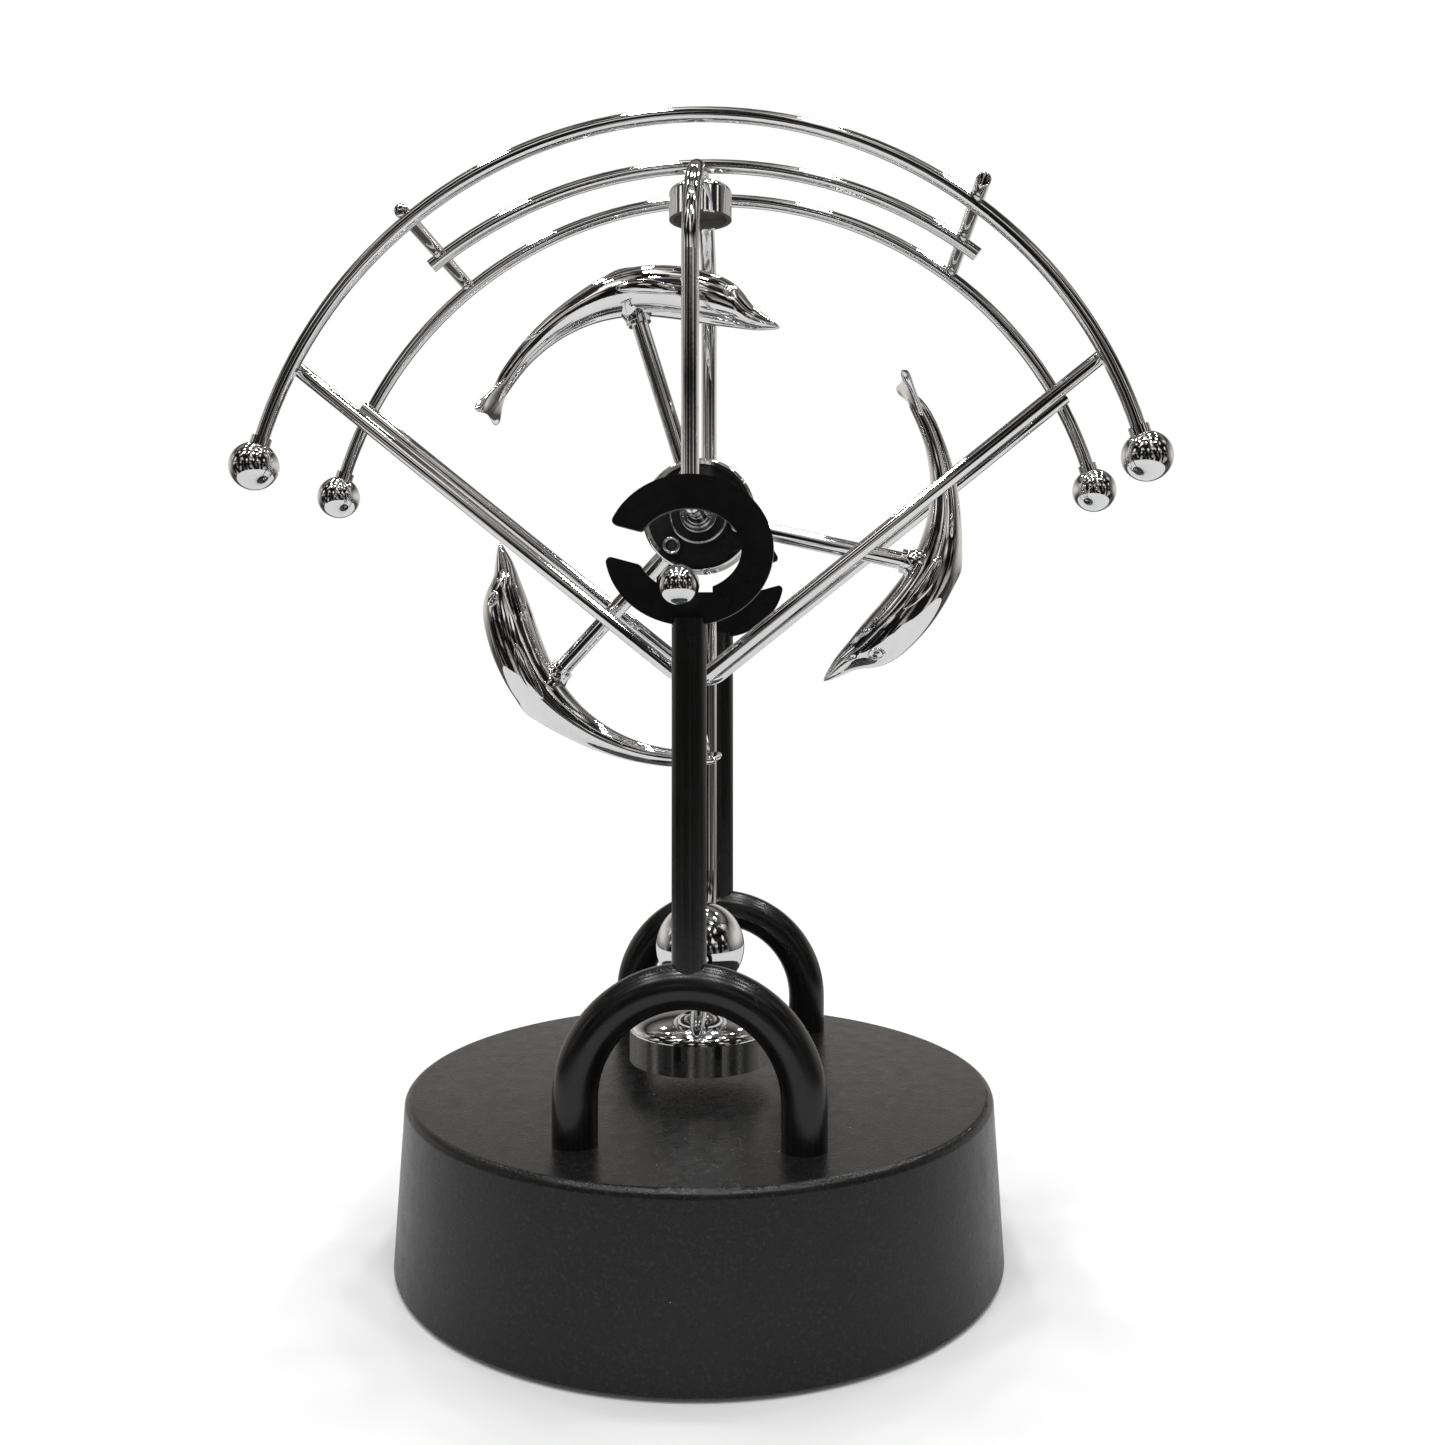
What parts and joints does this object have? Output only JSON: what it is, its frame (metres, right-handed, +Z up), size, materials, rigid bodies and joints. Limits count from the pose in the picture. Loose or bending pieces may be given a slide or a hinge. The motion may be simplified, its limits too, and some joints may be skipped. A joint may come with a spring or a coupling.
{
  "type": "kinetic desk toy",
  "caption": "Magnetic perpetual-motion desk toy: a chrome swing with curved arcs and a turning rotor of dolphins, on two black stands and a round base.",
  "frame": {"origin": "middle of the base on the standing plane, under the feet", "axes": "+Z up, +X across the swing's arcs to the right seen from the front, +Y to the back along the pivot"},
  "size_m": [0.1616, 0.11, 0.2017],
  "materials": {
    "base_plastic": "satin",
    "stand_paint": "satin",
    "ring_paint": "matte",
    "plated_steel": "satin",
    "rubber": "matte",
    "dark_plastic": "matte",
    "copper": "gloss",
    "board": "satin",
    "wire": "satin",
    "chrome": "polished",
    "plated_casting": "polished",
    "magnet": "matte",
    "hub_black": "gloss",
    "bush_steel": "satin"
  },
  "bodies": {
    "stand": {"base_housing": "base_plastic", "base_cover": "base_plastic", "cover_screws": "plated_steel", "rubber_feet": "rubber", "coil_bobbin": "dark_plastic", "coil_winding": "copper", "coil_core": "plated_steel", "circuit_board": "board", "board_components": "dark_plastic", "board_screws": "plated_steel", "battery": "plated_steel", "battery_snap": "dark_plastic", "battery_leads": "wire", "coil_leads": "wire", "arch_screws": "plated_steel", "arch_washers": "plated_steel", "front_arch": "stand_paint", "rear_arch": "stand_paint", "front_post": "stand_paint", "rear_post": "stand_paint", "front_cradle_ring": "ring_paint", "rear_cradle_ring": "ring_paint"},
    "battery_door": {"battery_door": "base_plastic"},
    "swing": {"fork": "chrome", "pendulum_rod": "chrome", "front_arc": "chrome", "rear_arc": "chrome", "middle_arc": "chrome", "left_cross_bar": "chrome", "right_cross_bar": "chrome", "front_brace": "chrome", "rear_brace": "chrome", "arc_balls": "chrome", "arc_collars": "chrome", "top_cap": "chrome", "top_magnet": "magnet", "big_ball": "chrome", "disc_housing": "chrome", "disc_magnet": "magnet", "pivot_balls": "chrome", "axle_collars": "chrome"},
    "rotor": {"hub_shell": "chrome", "hub_front_face": "hub_black", "hub_rear_face": "hub_black", "hub_bush": "bush_steel", "hub_tubes": "chrome", "spoke_1": "chrome", "spoke_2": "chrome", "spoke_3": "chrome", "dolphin_1": "plated_casting", "dolphin_2": "plated_casting", "dolphin_3": "plated_casting", "rotor_magnets": "magnet"}
  },
  "joints": [
    {"name": "swing_pivot", "type": "hinge", "parent": "stand", "child": "swing", "pos_m": [0, 0, 0.1184], "axis": [0, 1, 0], "range_deg": [-22, 22]},
    {"name": "rotor_spin", "type": "hinge", "parent": "swing", "child": "rotor", "pos_m": [0, 0, 0.1337], "axis": [0, 1, 0], "continuous": true},
    {"name": "battery_door_hinge", "type": "hinge", "parent": "stand", "child": "battery_door", "pos_m": [0, -0.0138, 0.00185], "axis": [1, 0, 0], "range_deg": [0, 75]}
  ]
}
